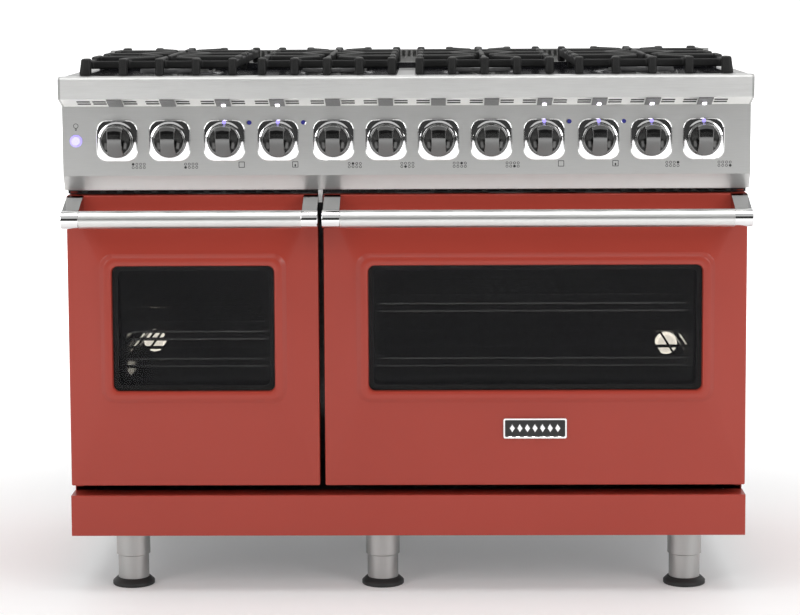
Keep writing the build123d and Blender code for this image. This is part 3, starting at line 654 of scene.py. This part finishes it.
burner_of_knob = {1: (0, 1), 2: (0, 0), 5: (1, 1), 6: (1, 0), 7: (2, 1), 8: (2, 0), 11: (3, 1),
                  12: (3, 0)}
marks = bmesh.new()
for number, (x, z) in enumerate(knob_places, 1):
    if number in burner_of_knob:
        for column in range(4):
            for row in range(2):
                at_x, at_z = x + 0.0275 + column * 0.0066, z - 0.0475 + row * 0.0058
                if (column, row) == burner_of_knob[number]:
                    mark = pressed([(0.0048, 0.0048, 0.0024, 0.0),
                                    (0.0048, 0.0048, 0.0024, 0.0001)], True, True, 3)
                else:
                    mark = outline(0.0048, 0.0048, 0.0024)
                join(marks, face_front(mark, at_x, at_z, panel_y))
    else:
        join(marks, face_front(outline(0.0107, 0.0107, 0.0006, 0.0011), x + 0.030, z - 0.043,
                               panel_y))
        if number in (4, 10):
            flame = pressed([(0.0028, 0.0044, 0.0013, 0.0), (0.0028, 0.0044, 0.0013, 0.0001)],
                            True, True, 3)
            join(marks, face_front(flame, x + 0.030, z - 0.0445, panel_y))
join(marks, face_front(outline(0.0090, 0.0090, 0.0045, 0.0009, 5), button_x, button_z + 0.0265,
                       panel_y))
join(marks, face_front(outline(0.0030, 0.0036, 0.0006), button_x, button_z + 0.0202, panel_y))
finish_piece(marks, "panel_marks", ink(), "range_body")


# ---------------------------------------------------------------- knobs
# Moulded in glossy black with a metallic sheen: a skirt, two scooped recesses and a thick grip
# bar whose front is crowned from top to bottom.
def knob_gloss():
    finish = Finish("knob_gloss", Metallic=1.0)
    haze = finish.noise(25, 2)
    finish.wear(Base_Color=finish.blend(haze, (0.150, 0.150, 0.148, 1), (0.190, 0.190, 0.188, 1)))
    finish.wear(Roughness=0.09 + haze * 0.08)
    return finish.material


gloss = knob_gloss()
knob_low, knob_high = (Vector(corner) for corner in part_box("knob_1"))
knob_radius = (knob_high.z - knob_low.z) / 2
knob_back = -(panel_y - 0.0055)
knob_reach = -knob_low.y - knob_back
for number, (x, z) in enumerate(knob_places, 1):
    r = knob_radius
    body = turned([(r - 0.002, 0.0), (r, 0.001), (r, 0.010), (r - 0.0008, 0.0125),
                   (r - 0.0030, 0.0140),
                   (r - 0.0042, 0.0138), (r - 0.0056, 0.0128), (0.0120, 0.0070)], 13)
    bar = bmesh.new()
    bmesh.ops.create_cube(bar, size=1)
    bmesh.ops.subdivide_edges(bar, edges=bar.edges[:], cuts=7, use_grid_fill=True)
    for vert in bar.verts:
        up = vert.co.y * 2
        crown = 1 - 0.42 * max(0.0, -0.10 - up) - 0.5 * max(0.0, up - 0.82)
        waist = 0.0125 + 0.0015 * up * up
        across = vert.co.x * 2 * waist
        along = ((r - 0.0012) ** 2 - across ** 2) ** 0.5
        vert.co = (across, up * along, 0.006 + (vert.co.z + 0.5) * (knob_reach * crown - 0.006))
    join(body, bar)
    stem = turned([(0.004, -0.03), (0.004, 0.002)], 5)
    join(body, stem)
    face_front(body, x, z, -knob_back)
    finish_piece(body, f"knob_body_{number}", gloss, f"knob_{number}",
                 [f"knob_{number}"], bevel=0.0014)


# ---------------------------------------------------------------- badge
# Small chrome frame with a black enamel field and a plain pattern of raised lozenges.
low, high = (Vector(corner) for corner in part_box("nameplate"))
x, z = (low.x + high.x) / 2, (low.z + high.z) / 2
wide, tall = high.x - low.x, high.z - low.z
rim = pressed([(wide, tall, 0.004, 0.0), (wide, tall, 0.004, 0.0026),
               (wide - 0.002, tall - 0.002, 0.003, 0.004),
               (wide - 0.007, tall - 0.007, 0.0022, 0.004),
               (wide - 0.009, tall - 0.009, 0.0016, 0.0026),
               (wide - 0.009, tall - 0.009, 0.0016, 0.0014)])
finish_piece(face_front(rim, x, z, high.y), "badge_rim", chrome, "right_door",
             ["nameplate"])
field = pressed([(wide - 0.008, tall - 0.008, 0.0016, 0.0),
                 (wide - 0.008, tall - 0.008, 0.0016, 0.0018)], True, True)
finish_piece(face_front(field, x, z, high.y), "badge_field", black, "right_door")
lozenges = bmesh.new()
for index in range(-3, 4):
    stone = bmesh.new()
    bmesh.ops.create_cone(stone, cap_ends=True, segments=4, radius1=0.0078, radius2=0.0060,
                          depth=0.0012)
    stone.transform(Matrix.Translation((index * 0.0136, 0, 0.0022)) @ Matrix.Diagonal((0.72, 1.1,
                                                                                       1, 1)))
    join(lozenges, stone)
finish_piece(face_front(lozenges, x, z, high.y), "badge_pattern", chrome, "right_door")


# ---------------------------------------------------------------- grates
# Cast iron in one piece over two burners, sand-cast, ground on top and coated in matt black porcelain;
# the lighter top edge is a painted highlight. The corners are soft because the coat fills them.
def cast_black():
    finish = Finish("cast_black", Specular_IOR_Level=0.28)
    sand = finish.noise(650, 4, 0.6)
    wear = finish.noise(45, 3)
    coated = finish.blend(wear, (0.006, 0.006, 0.006, 1), (0.014, 0.014, 0.014, 1))
    # Painted highlight: the top few millimetres of the casting are made lighter, for the light on its
    # top edges.
    height = finish.node("ShaderNodeSeparateXYZ", {}, {0: finish.place}, out=2)
    painted_top_highlight = finish.node("ShaderNodeMapRange", {},
                         {"Value": height, "From Min": 0.9672, "From Max": 0.9698})
    finish.wear(Base_Color=finish.blend(painted_top_highlight, coated, (0.050, 0.050, 0.048, 1)))
    finish.wear(Roughness=0.40 + wear * 0.2)
    finish.bump(sand, 0.45, 0.0006)
    return finish.material


iron = cast_black()
rest_y = 0.003
burner_y = (-0.150, 0.156)
bar = 0.011
post = 0.015
flare = 0.0058
finger_gap = 0.020


def tapered(bm, start, end, thick, deep_start, deep_end, top, thin=None):
    """Bar between two points, seen from above, that can get shallower and thinner to its tip."""
    start, end = Vector(start), Vector(end)
    length = (end - start).length
    piece = bmesh.new()
    bmesh.ops.create_cube(piece, size=1)
    for vert in piece.verts:
        far = vert.co.x > 0
        deep = deep_end if far else deep_start
        wide = (thin or thick) if far else thick
        vert.co = (length if far else 0, vert.co.y * wide, 0 if vert.co.z > 0 else -deep)
    angle = (end - start).angle_signed(Vector((1, 0)))
    piece.transform(Matrix.Translation((start.x, start.y, top)) @ Matrix.Rotation(angle, 4, "Z"))
    join(bm, piece)


for number in range(1, 5):
    low, high = (Vector(corner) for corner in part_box(f"grate_{number}"))
    top, foot = high.z, low.z
    left = low.x + post / 2 + (flare if number == 1 else 0)
    right = high.x - post / 2 - (flare if number == 4 else 0)
    mid = (left + right) / 2
    post_x = [left + (right - left) / 4 * index for index in range(5)]
    casting = bmesh.new()
    for x in (left, right):
        tapered(casting, (x, low.y + 0.004), (x, high.y - 0.004), bar - 0.001, 0.015, 0.015,
                top - 0.005)
        for y in (low.y + 0.012, rest_y - 0.024, rest_y + 0.024, high.y - 0.012):
            join(casting, box_mesh((x - bar / 2, y - 0.012,
                                    foot if abs(y - rest_y) > 0.02 else top - 0.02),
                                   (x + bar / 2, y + 0.012, top)))
        for y in burner_y:
            tapered(casting, (x, y - 0.034), (x, y + 0.034), bar, 0.017, 0.017, top)
    for y, inward in ((low.y, 1), (high.y, -1)):
        for x in post_x:
            y0, y1 = sorted((y, y + inward * 0.016))
            upright = box_mesh((x - post / 2, y0, foot), (x + post / 2, y1, top))
            edge = low.x if x == left and number == 1 else high.x if x == right and number == 4 else None
            for vert in upright.verts:
                if edge is not None and (vert.co.x - x) * edge > 0:
                    vert.co.x = edge if vert.co.z < top - 0.01 else edge - (0.004
                                                                            if edge > 0 else -0.004)
                if vert.co.z > foot + 0.01:
                    vert.co.y += inward * 0.003 if abs(vert.co.y - y) < 0.001 else 0
            join(casting, upright)
        rail = y + inward * 0.042
        tapered(casting, (left, rail), (right, rail), bar - 0.002, 0.014, 0.014, top - 0.006)
        for x in post_x[1:-1]:
            tapered(casting, (x, y), (x, rail), bar, 0.018, 0.015, top)
    tapered(casting, (left, rest_y), (right, rest_y), bar, 0.016, 0.016, top)
    for y in burner_y:
        for x in (left, right):
            inner = mid + (finger_gap if x > mid else -finger_gap)
            tapered(casting, (x, y), (inner, y), bar - 0.001, 0.020, 0.012, top, 0.007)
        front = low.y + 0.042 if y < 0 else rest_y
        back = rest_y if y < 0 else high.y - 0.042
        for start, sign in ((front, -1), (back, 1)):
            tapered(casting, (mid, start), (mid, y + sign * finger_gap), bar - 0.001, 0.018, 0.012,
                    top, 0.007)
            for x in (post_x[1], post_x[3]):
                aim = Vector((mid, y)) + (Vector((x, start)) - Vector((mid,
                                                                       y))).normalized() * 0.036
                tapered(casting, (x, start), aim, bar - 0.002, 0.017, 0.012, top, 0.006)
    piece = finish_piece(casting, f"grate_casting_{number}", iron, f"grate_{number}",
                         [f"grate_{number}"])
    merge = piece.modifiers.new("merge", "REMESH")
    merge.mode, merge.voxel_size, merge.use_smooth_shade = "VOXEL", 0.0021, True
    soften = piece.modifiers.new("soften", "SMOOTH")
    soften.factor, soften.iterations = 0.5, 3


# ---------------------------------------------------------------- burners and pans
# Spun pans in glossy black porcelain. Each burner is an aluminium head with flame ports under a
# loose enamelled cap; a white ceramic igniter stands beside it.
def cast_aluminium():
    finish = Finish("cast_aluminium", Metallic=1.0)
    grain = finish.noise(500, 3)
    finish.wear(Base_Color=finish.blend(grain, (0.50, 0.50, 0.49, 1), (0.66, 0.66, 0.65, 1)))
    finish.wear(Roughness=0.35 + grain * 0.2)
    finish.bump(grain, 0.3, 0.0004)
    return finish.material


def cap_enamel():
    finish = Finish("cap_enamel", Specular_IOR_Level=0.6)
    cloud = finish.noise(30, 3)
    finish.wear(Base_Color=finish.blend(cloud, (0.050, 0.050, 0.052, 1), (0.085, 0.085, 0.085, 1)))
    finish.wear(Roughness=0.28 + cloud * 0.15)
    finish.bump(finish.noise(500, 2), 0.15, 0.0003)
    return finish.material


coat("burner_pans", porcelain)
coat("burner_heads", cast_aluminium())
cap_low, cap_high = (Vector(corner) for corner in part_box("burner_caps"))
caps, lips = bmesh.new(), bmesh.new()
cap_x = [cap_low.x + 0.051, -0.1395, 0.1395, cap_high.x - 0.051]
for x in cap_x:
    for y in burner_y:
        cap = turned([(0.049, cap_low.z), (0.051, cap_low.z + 0.001), (0.051, cap_low.z + 0.004),
                      (0.0495, cap_high.z - 0.0012), (0.046, cap_high.z), (0.033, cap_high.z),
                      (0.029, cap_high.z - 0.001)])
        cap.transform(Matrix.Translation((x, y, 0)))
        join(caps, cap)
        lip = pressed([(0.150, 0.150, 0.075, 0.9252), (0.144, 0.144, 0.072, 0.9276),
                       (0.134, 0.134, 0.067, 0.9284),
                       (0.120, 0.120, 0.060, 0.9278), (0.096, 0.096, 0.048, 0.9258)], steps=11)
        lip.transform(Matrix.Translation((x, y, 0)))
        join(lips, lip)
finish_piece(caps, "caps", cap_enamel(), "range_body", ["burner_caps"])
finish_piece(lips, "pan_lips", porcelain, "range_body")


# ---------------------------------------------------------------- legs
# Stainless sleeves fixed to the base, polished tubes that screw inside them, and turned black
# feet with a flat rim.
sleeve_low, sleeve_high = (Vector(corner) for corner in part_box("leg_sleeves"))
tube_low, tube_high = (Vector(corner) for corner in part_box("leg_tubes"))
foot_low, foot_high = (Vector(corner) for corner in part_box("leg_feet"))
# Painted shade: the legs get a much darker copy of the same brushed steel than the body, for the shade
# under the range.
leg_steel_painted_shade = brushed_steel("leg_steel_painted_shade", (30, 30, 1), 0.42)
sleeves, tubes, feet = bmesh.new(), bmesh.new(), bmesh.new()
reach = foot_high.x - 0.0385
for x in (-reach, -0.047, reach):
    for y in (foot_low.y + 0.0385, foot_high.y - 0.0385):
        place = Matrix.Translation((x, y, 0))
        sleeve = pressed([(0.0576, 0.0576, 0.0288, sleeve_low.z),
                          (0.0596, 0.0596, 0.0298, sleeve_low.z),
                          (0.0620, 0.0620, 0.0310, sleeve_low.z + 0.0012),
                          (0.0620, 0.0620, 0.0310, sleeve_high.z)], steps=11)
        plate = box_mesh((-0.044, -0.030, sleeve_high.z - 0.002), (0.044, 0.044, sleeve_high.z))
        tube = turned([(0.0283, tube_low.z), (0.0283, tube_high.z)])
        foot = turned([(0.0375, 0.0), (0.0385, 0.001), (0.0385, 0.0060), (0.0378, 0.0070),
                       (0.0310, 0.0132), (0.0290, 0.0140)])
        for target, made in ((sleeves, join(sleeve, plate)), (tubes, tube), (feet, foot)):
            made.transform(place)
            join(target, made)
finish_piece(sleeves, "sleeves", leg_steel_painted_shade, "range_body", ["leg_sleeves"])
finish_piece(tubes, "tubes", leg_steel_painted_shade, "legs", ["leg_tubes"])
finish_piece(feet, "feet", black, "legs", ["leg_feet"])


# ---------------------------------------------------------------- studio floor and card
# The floor fills every view and glows more with distance, so the range stands on white; its glow is
# least near the range, which paints shade on the floor round and under it. The black card stands behind
# the camera, which never sees it, and darkens what the steel reflects.
floor_reach = 400
glow_from, glow_to = 0.55, 3.2
card_place, card_half = (0, -7.0, 1.75), (6, 1.73, 1)
floor_mesh = bpy.data.meshes.new("floor")
floor_bm = bmesh.new()
bmesh.ops.create_grid(floor_bm, x_segments=1, y_segments=1, size=floor_reach)
floor_bm.to_mesh(floor_mesh)
floor_bm.free()
floor = bpy.data.objects.new("floor", floor_mesh)
pale = Finish("floor_pale", Roughness=0.6, Emission_Strength=1.0)
far = pale.node("ShaderNodeVectorMath", {"operation": "LENGTH"}, {0: pale.place}, out=1)
# Painted shade: the floor's glow falls off towards the range, darkening the floor round and under it.
painted_shade_ramp = pale.node("ShaderNodeMapRange", {"interpolation_type": "SMOOTHSTEP"},
                  {"Value": far, "From Min": glow_from, "From Max": glow_to})
pale.wear(Emission_Color=pale.blend(painted_shade_ramp, (0.10, 0.10, 0.10, 1), (0.75, 0.75, 0.75, 1)))
pale.wear(Base_Color=pale.blend(pale.noise(2), (0.86, 0.86, 0.86, 1), (0.88, 0.88, 0.88, 1)))
floor_mesh.materials.append(pale.material)
bpy.context.collection.objects.link(floor)
flag_bm = bmesh.new()
bmesh.ops.create_grid(flag_bm, x_segments=1, y_segments=1, size=1)
flag_bm.transform(Matrix.Translation(card_place) @ Matrix.Rotation(radians(90), 4, "X")
                  @ Matrix.Diagonal((*card_half, 1)))
flag_mesh = bpy.data.meshes.new("flag")
flag_bm.to_mesh(flag_mesh)
flag_bm.free()
flag = bpy.data.objects.new("flag", flag_mesh)
flag_mesh.materials.append(black_matt("flag_cloth", 0.008))
flag.visible_camera = False
bpy.context.collection.objects.link(flag)
